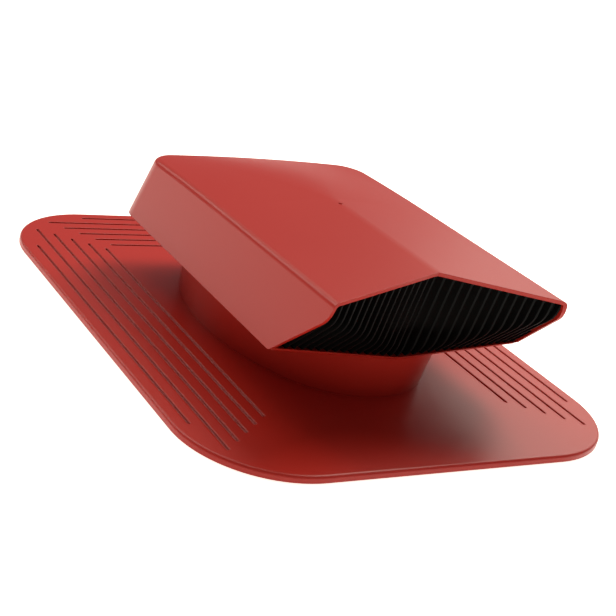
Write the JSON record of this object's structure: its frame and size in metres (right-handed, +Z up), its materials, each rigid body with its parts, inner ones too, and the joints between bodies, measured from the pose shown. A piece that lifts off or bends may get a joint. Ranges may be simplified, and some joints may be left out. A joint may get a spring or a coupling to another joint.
{
  "type": "roof shingle vent",
  "caption": "Red plastic ventilation outlet for shingle roofs: grooved flange, oval duct funnel and a folded hood with a ribbed grille.",
  "frame": {"origin": "centre of the flange's outline, on its flat underside", "axes": "+Z up from the roof surface; +Y up the roof slope, towards the hood's closed back; the mouth faces -Y; +X to the right when looking up the slope"},
  "size_m": [0.304, 0.379, 0.0995],
  "materials": {
    "red plastic": "satin, UV-stabilised brick red",
    "black plastic": "matte black"
  },
  "bodies": {
    "root": {"flange_base": "red plastic", "duct_funnel": "red plastic", "hood": "red plastic", "grille": "black plastic"}
  },
  "joints": []
}
